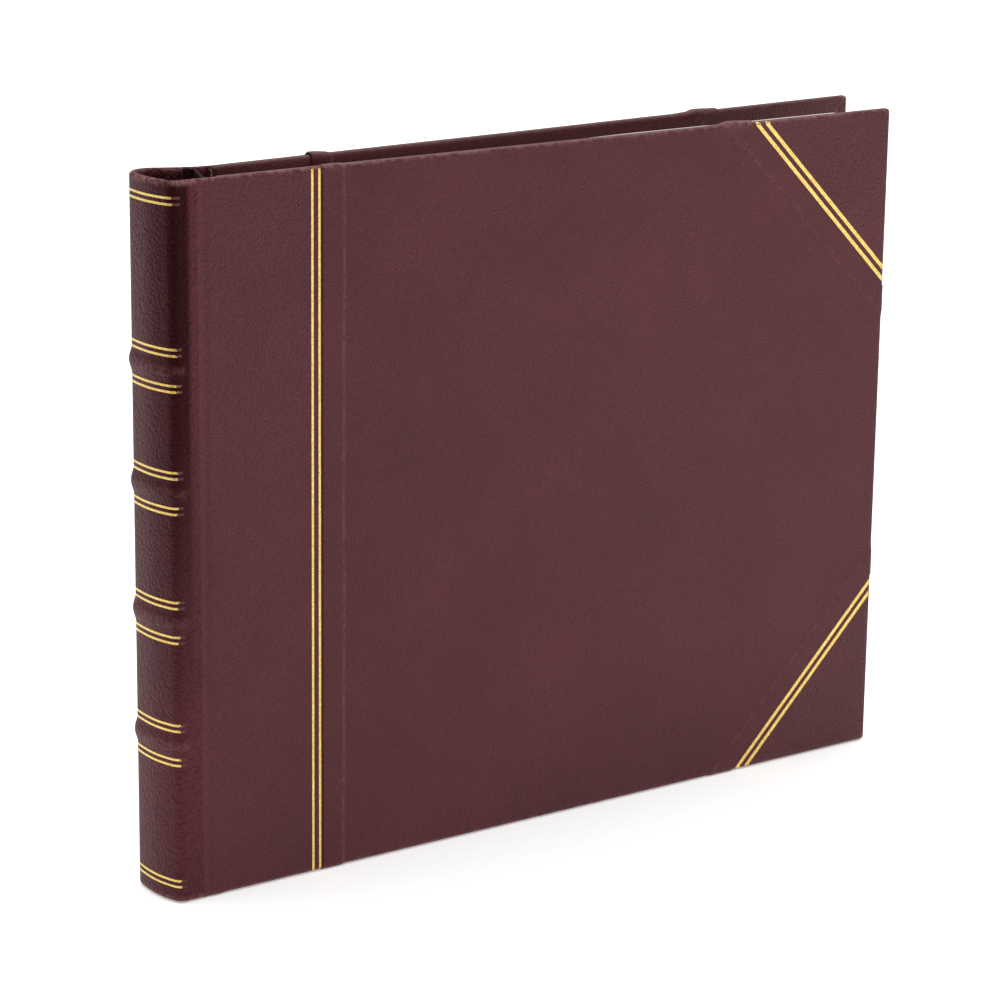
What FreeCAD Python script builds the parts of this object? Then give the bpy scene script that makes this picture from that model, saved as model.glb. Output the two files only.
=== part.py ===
"""Half-bound loose-leaf stamp album, standing on its tail with the rear cover a little open.

Plan frame while modelling: x runs from the spine to the fore-edge, y from the front cover to the
rear cover, z from tail to head. x = 0 is the front joint line and y = 0 the front cover's outer
face. The finished album is moved so that the origin is the centre of its footprint.
"""

import FreeCAD, Part
import math
import os

# ---- overall sizes, mm ----
cover_height = 250.0          # tail to head
cover_width = 300.0           # joint line to fore-edge
rear_opening = 3.0            # degrees that the rear cover stands open
rear_shift = 8.8              # rear joint line, further from the spine's back than the front one

# ---- layers of one cover, outside to inside ----
leather_t = 0.7               # quarter leather, corner pieces and spine leather
siding_t = 0.4                # leather siding over the whole board
board_t = 1.9                 # greyboard
turn_in_t = 0.3               # each layer pared where it is turned in over the board
turn_in_w = 14.0              # width of the turned-in border
paper_clearance = 0.3         # round the pastedown
board_inset = 5.0             # joint line to the board's spine edge
pastedown_inset = 16.0        # joint line to the pastedown
quarter_w = 46.0              # joint line to the quarter leather's edge
corner_leg = 78.0             # corner piece along each edge of the cover
lining_t = 0.4                # cloth that lines the joint and wraps the board's edge

# ---- the leather joint between spine and cover ----
joint_x = 1.5                 # fold line, from the joint line
joint_out = 0.6               # fold line outside the leather's face
joint_gap_half = 0.3          # half the slot between the two sides of the fold

# ---- spine ----
spine_depth = 15.0            # joint line to the middle of the back
spine_t = 29.3                # front to rear over both shoulders
shoulder_r = 8.0              # the front shoulder's side is flush with the cover
back_bulge = 0.4              # how far the back is rounded between its shoulders
tube_t = 1.0                  # card hollow tube under the leather
spine_turn_in = 12.0          # leather turned in at head and tail
band_heights = (56.7, 100.1, 145.0, 186.8)
band_w = 6.0
band_proud = 1.0
band_flank = 1.6              # leather slopes from the band down to the spine
band_from_joint = 5.0         # bands and their leather stop this far behind the joints

# ---- gilt lines, pressed into the leather ----
gilt_t = 0.1
gilt_w = 0.9
gilt_edge = 0.6               # gilt lines stop this short of a cover's edge
ring_w = 0.8
ring_pair = 2.1               # between the two rings of a pair
ring_from_band = 6.1          # band centre to the pair beside it
ring_from_end = 6.7           # head or tail to its pair
ring_from_joint = 6.0         # rings stop this far behind the joints
quarter_lines = (41.9, 44.7)
corner_lines = (61.5, 66.0)   # along the cover's edge, from the corner
corner_line_w = 1.2

# ---- leaves ----
sections = 8
leaves_in_section = 3
leaf_t = 0.42
leaf_gap = 0.08
leaf_square = 3.6             # cover stands past the leaves at head and tail
fore_square = 10.0            # and at the fore-edge
guard_w = 20.0
guard_clearance = 0.3
linen_t = 0.3
hinge_reach = 3.7             # guard's edge to the section's hinge line
linen_slot = 0.3              # bare gap on each side of the hinge line
linen_w = 7.0                 # hinge line to the leaves
linen_foot = 0.8              # thick edge of the linen that holds the leaves

# ---- binding channel and posts ----
cover_clearance = 0.3         # between a closed cover and the channel
channel_t = 1.2
post_from_end = 55.0          # outer posts, from tail and head
post_count = 3
post_r = 2.5
post_hole_clearance = 0.1
screw_r = 1.5
screw_clearance = 0.1
post_head_r = 4.5
post_head_t = 0.8
head_clearance = 0.2
screw_length = 7.0
screw_slot_w = 1.0
screw_slot_depth = 0.35

# ---- sizes that follow ----
cover_t = leather_t + siding_t + board_t + 2 * turn_in_t
section_pitch = leaves_in_section * (leaf_t + leaf_gap)
section_t = section_pitch - leaf_gap
block_t = sections * section_pitch
channel_front = cover_t + cover_clearance
block_front = channel_front + channel_t
block_rear = block_front + block_t
channel_rear = block_rear + channel_t
case_t = channel_rear + cover_clearance + cover_t
lean = math.atan2(rear_shift, case_t)
tail_x = joint_x - joint_gap_half
band_y = leather_t - band_proud


def box(x0, x1, y0, y1, z0, z1):
    return Part.makeBox(x1 - x0, y1 - y0, z1 - z0, FreeCAD.Vector(x0, y0, z0))


def bar_along_y(x, z, radius, y0, y1):
    return Part.makeCylinder(radius, y1 - y0, FreeCAD.Vector(x, y0, z), FreeCAD.Vector(0, 1, 0))


def prism(outline, z0, z1):
    """An upright prism from (x, y) corners."""
    points = [FreeCAD.Vector(x, y, z0) for x, y in outline]
    face = Part.Face(Part.makePolygon(points + points[:1]))
    return face.extrude(FreeCAD.Vector(0, 0, z1 - z0))


def plate(outline, y0, y1):
    """A plate parallel to the cover from (x, z) corners."""
    points = [FreeCAD.Vector(x, y0, z) for x, z in outline]
    face = Part.Face(Part.makePolygon(points + points[:1]))
    return face.extrude(FreeCAD.Vector(0, y1 - y0, 0))


def leaning_x(inside, y):
    """x of the plane that lies inside the plane through both joints, at y."""
    return tail_x + (inside + y * math.sin(lean)) / math.cos(lean)


# ---- spine ----

def spine_wire(inset, z):
    """Outline of the spine, drawn inset inside the leather's face and closed from joint to joint."""
    reach = spine_t / 2 - shoulder_r
    centre_x = -(spine_depth - shoulder_r - back_bulge)
    depth = shoulder_r + back_bulge
    back_r = (depth ** 2 - shoulder_r ** 2 + reach ** 2) / (2 * back_bulge)
    back_x = back_r - spine_depth
    radius = shoulder_r - inset
    away = math.atan2(reach, centre_x - back_x)

    def spot(x, y):
        return FreeCAD.Vector(x, spine_t / 2 + y, z)

    def shoulder(angle, sign):
        return spot(centre_x + radius * math.cos(angle), sign * (reach + radius * math.sin(angle)))

    def side(joint, sign):
        """Angle where the flat side leaves the shoulder, and the side's end on the joints' plane."""
        run_x = joint[0] - centre_x
        run_y = sign * (joint[1] - spine_t / 2) - reach
        tangent = math.atan2(run_y, run_x) + math.acos(shoulder_r / math.hypot(run_x, run_y))
        normal = (math.cos(tangent), sign * math.sin(tangent))
        short = inset / (math.sin(lean) * normal[0] + math.cos(lean) * normal[1])
        end = spot(joint[0] - short * math.sin(lean), joint[1] - spine_t / 2 - short * math.cos(lean))
        return tangent, end

    front_angle, front_end = side((tail_x, 0), -1)
    rear_angle, rear_end = side((tail_x + rear_shift, case_t), 1)
    back = spot(back_x - (back_r - inset), 0)
    rear = Part.Arc(shoulder(rear_angle, 1), shoulder((rear_angle + away) / 2, 1), shoulder(away, 1))
    round_back = Part.Arc(shoulder(away, 1), back, shoulder(away, -1))
    front = Part.Arc(shoulder(away, -1), shoulder((front_angle + away) / 2, -1), shoulder(front_angle, -1))
    rear_side = Part.LineSegment(rear_end, shoulder(rear_angle, 1))
    front_side = Part.LineSegment(shoulder(front_angle, -1), front_end)
    chord = Part.LineSegment(front_end, rear_end)
    return Part.Wire([edge.toShape() for edge in (rear_side, rear, round_back, front, front_side, chord)])


def spine_block(inset, z0, z1):
    return Part.Face(spine_wire(inset, z0)).extrude(FreeCAD.Vector(0, 0, z1 - z0))


def spine_taper(inset0, z0, inset1, z1):
    return Part.makeLoft([spine_wire(inset0, z0), spine_wire(inset1, z1)], True, True)


def behind(margin):
    """Everything on the spine's side of the plane through both joints, and margin or more from it."""
    far = 4 * spine_t
    corners = []
    for along, out in ((-far, margin), (far, margin), (far, far), (-far, far)):
        corners.append((tail_x + along * math.sin(lean) - out * math.cos(lean),
                        along * math.cos(lean) + out * math.sin(lean)))
    return prism(corners, 0, cover_height)


def chamber(end_inset, z0, z1):
    """Space inside the spine, walled off from the leaves by the tube's flat wall."""
    return spine_block(end_inset, z0, z1).common(behind(tube_t))


def band_swelling(z, width, flank, foot, crest):
    """One band, or the leather's swelling over it, from the foot face out to the crest face."""
    low = z - width / 2
    high = z + width / 2
    swelling = spine_block(crest, low, high)
    if flank:
        swelling = swelling.fuse([spine_taper(foot, low - flank, crest, low),
                                  spine_taper(crest, high, foot, high + flank)])
    return swelling.common(behind(band_from_joint))


def raised_band(z):
    return band_swelling(z, band_w, 0, leather_t, band_y).cut(spine_block(leather_t, 0, cover_height))


def spine_leather():
    skin = spine_block(0, 0, cover_height)
    for z in band_heights:
        skin = skin.fuse(band_swelling(z, band_w, band_flank, 0, -band_proud))
    skin = skin.cut(spine_block(leather_t, leather_t, cover_height - leather_t))
    for z in band_heights:
        skin = skin.cut(raised_band(z))
    open_inset = leather_t + tube_t + leather_t
    skin = skin.cut(chamber(open_inset, 0, cover_height))
    skin = skin.cut(spine_block(leather_t, 0, cover_height).cut(behind(tube_t)))
    for low in (leather_t, cover_height - spine_turn_in):
        high = low + spine_turn_in - leather_t
        lip = chamber(leather_t + tube_t, low, high).cut(chamber(open_inset, low, high))
        skin = skin.fuse(lip.common(behind(tube_t + leather_t)))
    return skin.removeSplitter().cut(spine_gilding())


def spine_tube():
    low = leather_t
    high = cover_height - leather_t
    return spine_block(leather_t, low, high).cut(chamber(leather_t + tube_t, low, high))


def gilt_ring(z):
    low = z - ring_w / 2
    high = z + ring_w / 2
    return spine_block(0, low, high).cut(spine_block(gilt_t, low, high)).common(behind(ring_from_joint))


def spine_gilding():
    pairs = [ring_from_end, cover_height - ring_from_end]
    for z in band_heights:
        pairs += [z - ring_from_band, z + ring_from_band]
    return Part.makeCompound([gilt_ring(z + side * ring_pair / 2) for z in pairs for side in (-1, 1)])


# ---- covers, built as the closed front cover ----

board_y = leather_t + siding_t
board_inner = board_y + board_t
siding_inner = board_inner + turn_in_t
edge_in = leather_t + siding_t


def cover_board():
    return box(board_inset, cover_width - edge_in, board_y, board_inner, edge_in, cover_height - edge_in)


def siding_block():
    return box(board_inset, cover_width - leather_t, leather_t, siding_inner,
               leather_t, cover_height - leather_t)


def inside_window(y):
    """The part of the cover's inner side that no turn-in covers."""
    return box(0, cover_width - turn_in_w, y, cover_t, turn_in_w, cover_height - turn_in_w)


def siding():
    return siding_block().cut(cover_board()).cut(inside_window(board_inner))


def quarter_leather():
    wrap = box(board_inset, quarter_w, 0, cover_t, 0, cover_height)
    wrap = wrap.cut(siding_block()).cut(inside_window(siding_inner))
    fold = box(joint_x + joint_gap_half, board_inset, 0, leather_t, 0, cover_height)
    return wrap.fuse(fold).removeSplitter().cut(cover_gilding())


def joint_lining():
    start = joint_x + 2 * joint_gap_half
    edge = board_inset - lining_t
    strip = box(start, board_inset, leather_t, leather_t + lining_t, edge_in, cover_height - edge_in)
    leg = box(edge, board_inset, leather_t, siding_inner, edge_in, cover_height - edge_in)
    lip = box(edge, pastedown_inset, board_inner, siding_inner,
              turn_in_w + paper_clearance, cover_height - turn_in_w - paper_clearance)
    return strip.fuse([leg, lip]).removeSplitter()


def pastedown():
    margin = turn_in_w + paper_clearance
    return box(pastedown_inset + paper_clearance, cover_width - margin, board_inner, siding_inner,
               margin, cover_height - margin)


def at_corner(head, outline):
    """Corner outline given from the fore-edge and the tail, or from the head."""
    return [(cover_width - x, cover_height - z if head else z) for x, z in outline]


def corner_piece(head):
    corner = plate(at_corner(head, [(corner_leg, 0), (0, 0), (0, corner_leg)]), 0, cover_t)
    return corner.cut(siding_block()).cut(inside_window(siding_inner)).cut(cover_gilding())


def cover_gilding():
    lines = []
    for x in quarter_lines:
        lines.append(box(x - gilt_w / 2, x + gilt_w / 2, 0, gilt_t, gilt_edge, cover_height - gilt_edge))
    half = corner_line_w / math.sqrt(2)
    for head in (False, True):
        for leg in corner_lines:
            outer, inner = leg + half - gilt_edge, leg - half - gilt_edge
            outline = [(outer, gilt_edge), (inner, gilt_edge), (gilt_edge, inner), (gilt_edge, outer)]
            lines.append(plate(at_corner(head, outline), 0, gilt_t))
    return Part.makeCompound(lines)


def cover_pieces():
    return {
        "cover_board": cover_board(),
        "siding": siding(),
        "quarter_leather": quarter_leather(),
        "joint_lining": joint_lining(),
        "corner_head": corner_piece(True),
        "corner_tail": corner_piece(False),
        "pastedown": pastedown(),
        "gilding": cover_gilding(),
    }


front_joint = FreeCAD.Vector(joint_x, -joint_out, 0)
rear_joint = FreeCAD.Vector(rear_shift + joint_x, case_t + joint_out, 0)


def to_rear(shape):
    """Mirrors a front cover piece to the rear joint and opens it."""
    rear = shape.mirror(FreeCAD.Vector(0, case_t / 2, 0), FreeCAD.Vector(0, 1, 0))
    rear.translate(FreeCAD.Vector(rear_shift, 0, 0))
    rear.rotate(rear_joint, FreeCAD.Vector(0, 0, 1), rear_opening)
    return rear


# ---- binding channel, guards and posts ----

channel_low = leaf_square
channel_high = cover_height - leaf_square
guard_x = leaning_x(channel_t, block_rear) + guard_clearance
guard_end = guard_x + guard_w
post_x = guard_x + guard_w / 2
post_span = cover_height - 2 * post_from_end
post_heights = [post_from_end + post_span * i / (post_count - 1) for i in range(post_count)]
hinge_x = guard_end + hinge_reach


def binding_channel():
    """Folded card channel: a leaning web glued to the tube, and a leg on each side of the guards."""
    outline = [(leaning_x(0, channel_front), channel_front), (guard_end, channel_front),
               (guard_end, block_front), (leaning_x(channel_t, block_front), block_front),
               (leaning_x(channel_t, block_rear), block_rear), (guard_end, block_rear),
               (guard_end, channel_rear), (leaning_x(0, channel_rear), channel_rear)]
    channel = prism(outline, channel_low, channel_high)
    sunk = post_head_t
    for z in post_heights:
        hole = bar_along_y(post_x, z, post_r + post_hole_clearance, channel_front, channel_rear)
        front_sink = bar_along_y(post_x, z, post_head_r + head_clearance, channel_front, channel_front + sunk)
        rear_sink = bar_along_y(post_x, z, post_head_r + head_clearance, channel_rear - sunk, channel_rear)
        channel = channel.cut(hole).cut(front_sink).cut(rear_sink)
    return channel


def section_front(index):
    return block_front + leaf_gap / 2 + index * section_pitch


def section_middle(index):
    return section_front(index) + section_t / 2


def guard_strips():
    strips = []
    for index in range(sections):
        front = section_front(index)
        strip = box(guard_x, guard_end, front, front + section_t, channel_low, channel_high)
        for z in post_heights:
            strip = strip.cut(bar_along_y(post_x, z, post_r + post_hole_clearance, front, front + section_t))
        strips.append(strip)
    return Part.makeCompound(strips)


def guard_linen():
    strips = []
    for index in range(sections):
        front = section_middle(index) - linen_t / 2
        strips.append(box(guard_end, hinge_x - linen_slot, front, front + linen_t, channel_low, channel_high))
    return Part.makeCompound(strips)


def post_barrels():
    barrels = []
    front = channel_front + post_head_t + head_clearance
    head = channel_rear - post_head_t
    for z in post_heights:
        barrel = bar_along_y(post_x, z, post_r, front, head)
        barrel = barrel.fuse(bar_along_y(post_x, z, post_head_r, head, channel_rear)).removeSplitter()
        bore_end = channel_front + post_head_t + screw_length + head_clearance
        barrels.append(barrel.cut(bar_along_y(post_x, z, screw_r + screw_clearance, front, bore_end)))
    return Part.makeCompound(barrels)


def post_screws():
    screws = []
    neck = channel_front + post_head_t
    for z in post_heights:
        screw = bar_along_y(post_x, z, post_head_r, channel_front, neck)
        screw = screw.fuse(bar_along_y(post_x, z, screw_r, neck, neck + screw_length)).removeSplitter()
        slot = box(post_x - post_head_r, post_x + post_head_r, channel_front,
                   channel_front + screw_slot_depth, z - screw_slot_w / 2, z + screw_slot_w / 2)
        screws.append(screw.cut(slot))
    return Part.makeCompound(screws)


# ---- leaves ----

leaf_x = hinge_x + linen_w
leaf_end = cover_width - fore_square


def leaf_section(index):
    leaves = []
    for place in range(leaves_in_section):
        front = section_front(index) + place * (leaf_t + leaf_gap)
        leaves.append(box(leaf_x, leaf_end, front, front + leaf_t, leaf_square, cover_height - leaf_square))
    return Part.makeCompound(leaves)


def leaf_linen(index):
    middle = section_middle(index)
    strip = box(hinge_x + linen_slot, leaf_x - linen_foot, middle - linen_t / 2, middle + linen_t / 2,
                leaf_square, cover_height - leaf_square)
    foot = box(leaf_x - linen_foot, leaf_x, middle - section_t / 2, middle + section_t / 2,
               leaf_square, cover_height - leaf_square)
    return strip.fuse(foot).removeSplitter()


# ---- assembly ----

pieces = {
    "spine_tube": spine_tube(),
    "spine_leather": spine_leather(),
    "spine_gilding": spine_gilding(),
    "binding_channel": binding_channel(),
    "guard_strips": guard_strips(),
    "guard_linen": guard_linen(),
    "post_barrels": post_barrels(),
    "post_screws": post_screws(),
}
for number, z in enumerate(band_heights, 1):
    pieces[f"raised_band_{number}"] = raised_band(z)
for name, shape in cover_pieces().items():
    pieces[f"front_{name}"] = shape
    pieces[f"rear_{name}"] = to_rear(shape)
for index in range(sections):
    pieces[f"leaf_section_{index + 1}"] = leaf_section(index)
    pieces[f"leaf_linen_{index + 1}"] = leaf_linen(index)

footprint = Part.makeCompound(list(pieces.values())).optimalBoundingBox(False, False)
centre = FreeCAD.Vector((footprint.XMin + footprint.XMax) / 2, (footprint.YMin + footprint.YMax) / 2, 0)

os.makedirs("parts", exist_ok=True)
for name, shape in pieces.items():
    shape.translate(-centre)
    shape.exportStep(f"parts/{name}.step")

for name, place in (("front joint", front_joint), ("rear joint", rear_joint)):
    print(name, round(place.x - centre.x, 3), round(place.y - centre.y, 3))
for index in range(sections):
    print("section", index + 1, round(hinge_x - centre.x, 3), round(section_middle(index) - centre.y, 3))
print("centre", round(centre.x, 3), round(centre.y, 3), "size", footprint.XLength, footprint.YLength)
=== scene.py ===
"""Visual model of a half-bound leather stamp album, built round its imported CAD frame."""
import math

import bpy
import numpy as np
from mathutils import Matrix, Vector


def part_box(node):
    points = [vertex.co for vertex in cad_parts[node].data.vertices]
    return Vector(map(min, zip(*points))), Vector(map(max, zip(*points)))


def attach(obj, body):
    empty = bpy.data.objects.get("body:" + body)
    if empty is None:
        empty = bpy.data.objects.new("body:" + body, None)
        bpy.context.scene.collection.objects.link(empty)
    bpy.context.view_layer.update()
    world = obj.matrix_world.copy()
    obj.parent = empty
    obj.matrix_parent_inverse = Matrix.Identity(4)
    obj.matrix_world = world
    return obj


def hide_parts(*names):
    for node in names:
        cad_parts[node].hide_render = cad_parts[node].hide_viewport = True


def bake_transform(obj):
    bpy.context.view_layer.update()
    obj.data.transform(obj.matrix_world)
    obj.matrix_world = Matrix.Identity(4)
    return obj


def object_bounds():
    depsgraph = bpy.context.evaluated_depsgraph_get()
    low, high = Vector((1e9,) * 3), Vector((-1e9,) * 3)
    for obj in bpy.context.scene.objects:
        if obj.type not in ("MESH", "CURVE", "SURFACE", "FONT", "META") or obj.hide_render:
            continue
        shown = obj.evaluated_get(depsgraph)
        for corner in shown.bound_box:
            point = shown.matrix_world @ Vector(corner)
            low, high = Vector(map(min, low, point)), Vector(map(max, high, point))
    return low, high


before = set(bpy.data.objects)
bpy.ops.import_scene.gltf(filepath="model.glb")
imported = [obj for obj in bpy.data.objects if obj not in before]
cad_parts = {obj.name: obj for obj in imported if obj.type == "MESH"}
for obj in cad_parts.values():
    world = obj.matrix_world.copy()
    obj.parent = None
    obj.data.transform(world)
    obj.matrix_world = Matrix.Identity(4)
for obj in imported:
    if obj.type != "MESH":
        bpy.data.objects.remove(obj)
cad_low, cad_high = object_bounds()

# ---- sizes in millimetres, in the album's plan frame: x from the front joint line towards the
# fore-edge, y inwards from the front cover's face, z up from the tail ----
COVER_W, COVER_H, COVER_T = 300.0, 250.0, 3.6
CASE_T = 22.2
REAR_OPENING, REAR_SHIFT = math.radians(3.0), 8.8
JOINT_X, JOINT_OUT, TAIL_X = 1.5, 0.6, 1.2
SPINE_DEPTH, SPINE_T, SHOULDER_R, BACK_BULGE = 15.0, 29.3, 8.0, 0.4
BANDS = (56.7, 100.1, 145.0, 186.8)
BAND_REACH, BAND_PROUD = 4.6, 1.0
RING_FROM_END, RING_FROM_BAND, RING_PAIR = 6.7, 6.1, 2.1
GILT_W, GILT_PROUD, GILT_T = 0.9, 0.035, 0.05
QUARTER_LINES, QUARTER_LINE_HALF = (41.9, 44.7), 0.5
CORNER_LINES, CORNER_LINE_HALF = (61.5, 66.0), 1.15   # along the cover's edges
BOARD_INSET, EDGE_IN = 5.0, 1.1
QUARTER_W, CORNER_LEG = 46.0, 69.0
QUARTER_HIDDEN, CORNER_HIDDEN = 54.5, 79.0   # where the leather under the siding ends
EDGE_R, TURN_IN = 1.3, 14.0
LEATHER_T, SPINE_SKIN_T, SIDING_T, SIDING_PROUD = 0.5, 0.45, 0.4, 0.3
JOINT_FOLD_T, JOINT_DIP = 1.5, 0.25          # leather over the joint: its folded depth and its hollow
FOLD_RISE = 0.7                              # bunched siding over the rear cover's head, by its quarter
TIGHT_R, TIGHT_TURN = 4.0, math.radians(70)   # the front shoulder, tighter than the CAD's
FRONT_SEAM, REAR_SEAM = 0.38, 0.3             # share of the flat side that belongs to the joint leather

board_low, board_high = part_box("front_cover_board")
ORIGIN = np.array(board_low) * 1000 - np.array([BOARD_INSET, EDGE_IN, EDGE_IN])


def rear(points):
    """A front cover point to its mirror place on the opened rear cover."""
    p = np.asarray(points, float)
    x = p[..., 0] - JOINT_X
    y = -p[..., 1] - JOINT_OUT
    c, s = math.cos(REAR_OPENING), math.sin(REAR_OPENING)
    return np.stack([REAR_SHIFT + JOINT_X + x * c - y * s,
                     CASE_T + JOINT_OUT + x * s + y * c, p[..., 2]], -1)


def metres(points):
    return (np.asarray(points, float) + ORIGIN) / 1000


def smoothstep(a, b, x):
    t = np.clip((np.asarray(x, float) - a) / (b - a), 0, 1)
    return t * t * (3 - 2 * t)


# ---- materials ----

class Nodes:
    """Short names for the nodes of one material."""

    def __init__(self, name):
        self.mat = bpy.data.materials.new(name)
        self.mat.use_nodes = True
        self.tree = self.mat.node_tree
        self.tree.nodes.clear()
        self.out = self.tree.nodes.new("ShaderNodeOutputMaterial")
        self.bsdf = self.tree.nodes.new("ShaderNodeBsdfPrincipled")
        self.tree.links.new(self.bsdf.outputs[0], self.out.inputs[0])
        self.coord = self.tree.nodes.new("ShaderNodeTexCoord").outputs["Object"]

    def put(self, node, inputs):
        for key, value in inputs.items():
            socket = node.inputs[key]
            if isinstance(value, bpy.types.NodeSocket):
                self.tree.links.new(value, socket)
            else:
                socket.default_value = value

    def math(self, operation, a, b=0.0):
        node = self.tree.nodes.new("ShaderNodeMath")
        node.operation = operation
        self.put(node, {0: a, 1: b})
        return node.outputs[0]

    def scaled(self, scale):
        node = self.tree.nodes.new("ShaderNodeMapping")
        self.put(node, {"Vector": self.coord, "Scale": scale})
        return node.outputs[0]

    def noise(self, scale, detail=3.0, roughness=0.55, vector=None):
        node = self.tree.nodes.new("ShaderNodeTexNoise")
        self.put(node, {"Vector": vector or self.coord, "Scale": scale, "Detail": detail,
                        "Roughness": roughness})
        return node.outputs["Fac"]

    def cells(self, scale, vector):
        node = self.tree.nodes.new("ShaderNodeTexVoronoi")
        node.feature = "SMOOTH_F1"
        self.put(node, {"Vector": vector, "Scale": scale})
        return node.outputs["Distance"]

    def span(self, value, low, high, to_low=0.0, to_high=1.0):
        node = self.tree.nodes.new("ShaderNodeMapRange")
        node.interpolation_type = "SMOOTHSTEP"
        self.put(node, {"Value": value, "From Min": low, "From Max": high, "To Min": to_low,
                        "To Max": to_high})
        return node.outputs["Result"]

    def mix(self, factor, a, b):
        node = self.tree.nodes.new("ShaderNodeMix")
        node.data_type = "RGBA"
        for index, value in ((0, factor), (6, a), (7, b)):
            self.put(node, {index: value})
        return node.outputs[2]

    def attribute(self, name):
        node = self.tree.nodes.new("ShaderNodeAttribute")
        node.attribute_name = name
        return node.outputs["Fac"]

    def height(self):
        node = self.tree.nodes.new("ShaderNodeSeparateXYZ")
        self.put(node, {0: self.coord})
        return node.outputs["Z"]

    def bump(self, height, distance):
        node = self.tree.nodes.new("ShaderNodeBump")
        self.put(node, {"Height": height, "Distance": distance, "Strength": 1.0})
        return node.outputs[0]

    def finish(self, **inputs):
        self.put(self.bsdf, {key.replace("_", " "): value for key, value in inputs.items()})
        return self.mat


def rgb(r, g, b):
    """sRGB 0-255 to linear."""
    def lin(c):
        c /= 255
        return c / 12.92 if c <= 0.04045 else ((c + 0.055) / 1.055) ** 2.4
    return (lin(r), lin(g), lin(b), 1.0)


LEATHER_DARK, LEATHER_BASE, LEATHER_SHADE = rgb(58, 20, 24), rgb(90, 32, 41), rgb(81, 27, 36)
# the last two values below are the colour and strength of the painted shade on the spine's front
# shoulder
LEATHER_WORN, LEATHER_PAINTED_SHADE, PAINTED_SHADE_STRENGTH = rgb(142, 98, 96), rgb(40, 9, 11), 0.9
GOLD_BRIGHT, GOLD_DEEP = rgb(255, 226, 128), rgb(232, 184, 84)


def leather_surface(n, cell, depth, specks):
    """Pebbled grain of cell millimetres: colour, roughness and normal."""
    size = 1000 / cell
    warp = n.noise(size * 0.35, 2.0)
    node = n.tree.nodes.new("ShaderNodeVectorMath")
    node.operation = "MULTIPLY_ADD"
    n.put(node, {0: warp, 1: (cell * 0.0011,) * 3, 2: n.coord})
    warped = node.outputs[0]
    cells = n.cells(size, warped)
    valley = n.span(cells, 0.25, 0.75)
    fine = n.noise(size * 3.2, 3.0, 0.6)
    broad = n.noise(22.0, 4.0, 0.6)
    crease_coord = n.tree.nodes.new("ShaderNodeMapping")
    n.put(crease_coord, {"Vector": n.coord, "Rotation": (0.0, math.radians(38), 0.0),
                         "Scale": (1.0, 1.0, 0.28)})
    creases = n.noise(size * 0.5, 3.0, 0.6, crease_coord.outputs[0])
    height = n.math("ADD", n.math("MULTIPLY", valley, -1.0), n.math("MULTIPLY", fine, 0.35))
    height = n.math("ADD", height, n.math("MULTIPLY", creases, 0.7))
    wear = n.attribute("wear")
    scuff = n.math("MULTIPLY", wear, n.span(n.noise(420.0, 4.0, 0.7), 0.38, 0.62))
    speck = n.math("MULTIPLY", n.span(n.noise(size * 1.1, 2.0, 0.5), 0.66, 0.74),
                   n.span(n.noise(60.0, 3.0, 0.6), 0.42, 0.62))
    speck = n.math("MULTIPLY", speck, n.span(n.height(), 0.05, 0.25, specks * 0.35, specks))
    colour = n.mix(n.span(broad, 0.3, 0.7), LEATHER_BASE, LEATHER_SHADE)
    colour = n.mix(n.math("MULTIPLY", valley, 0.55), colour, LEATHER_DARK)
    # painted shade: darkens the leather down the spine's front shoulder
    colour = n.mix(n.math("MULTIPLY", n.attribute("painted_shade"), PAINTED_SHADE_STRENGTH), colour, LEATHER_PAINTED_SHADE)
    colour = n.mix(n.math("MAXIMUM", scuff, speck), colour, LEATHER_WORN)
    rough = n.math("ADD", n.span(fine, 0.3, 0.7, 0.44, 0.56), n.math("MULTIPLY", scuff, 0.2))
    normal = n.bump(height, depth * 0.001)
    return colour, rough, normal


def leather(name, cell, depth, specks, shine):
    n = Nodes(name)
    colour, rough, normal = leather_surface(n, cell, depth, specks)
    # the painted shade also takes the sheen off, so the shaded shoulder reflects little
    gloss = n.span(n.attribute("painted_shade"), 0.0, 1.0, shine, 0.08)
    return n.finish(Base_Color=colour, Roughness=rough, Normal=normal, IOR=1.36,
                    Specular_IOR_Level=gloss)


def gilt(name, cell, depth):
    """Gold leaf pressed into the leather, ragged at its edges and worn through in places."""
    n = Nodes(name)
    colour, rough, normal = leather_surface(n, cell, depth, 0.0)
    ragged = n.math("ADD", n.attribute("across"), n.math("MULTIPLY", n.noise(2600.0, 2.0, 0.6), 0.5))
    leaf = n.span(ragged, 1.1, 1.2, 1.0, 0.0)
    thin = n.math("ADD", n.noise(900.0, 4.0, 0.65), n.math("MULTIPLY", n.attribute("fade"), 0.35))
    leaf = n.math("MULTIPLY", leaf, n.span(thin, 0.66, 0.74, 1.0, 0.0))
    tone = n.mix(n.span(n.noise(1500.0, 3.0), 0.35, 0.65), GOLD_BRIGHT, GOLD_DEEP)
    return n.finish(Base_Color=n.mix(leaf, colour, tone), Metallic=n.math("MULTIPLY", leaf, 0.25),
                    Roughness=n.span(leaf, 0.0, 1.0, 0.5, 0.36), Normal=normal, IOR=1.45)


def fibrous(name, light, dark, scale, depth, roughness):
    """Board, card and paper: mottled, with fibres."""
    n = Nodes(name)
    fibres = n.noise(scale, 5.0, 0.7, n.scaled((1.0, 1.0, 0.35)))
    flecks = n.span(n.noise(scale * 2.3, 2.0), 0.62, 0.72)
    colour = n.mix(n.span(fibres, 0.3, 0.7), light, dark)
    colour = n.mix(n.math("MULTIPLY", flecks, 0.4), colour, dark)
    return n.finish(Base_Color=colour, Roughness=n.span(fibres, 0.3, 0.7, roughness - 0.08, roughness),
                    Normal=n.bump(fibres, depth * 0.001), IOR=1.3, Specular_IOR_Level=0.2)


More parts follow.
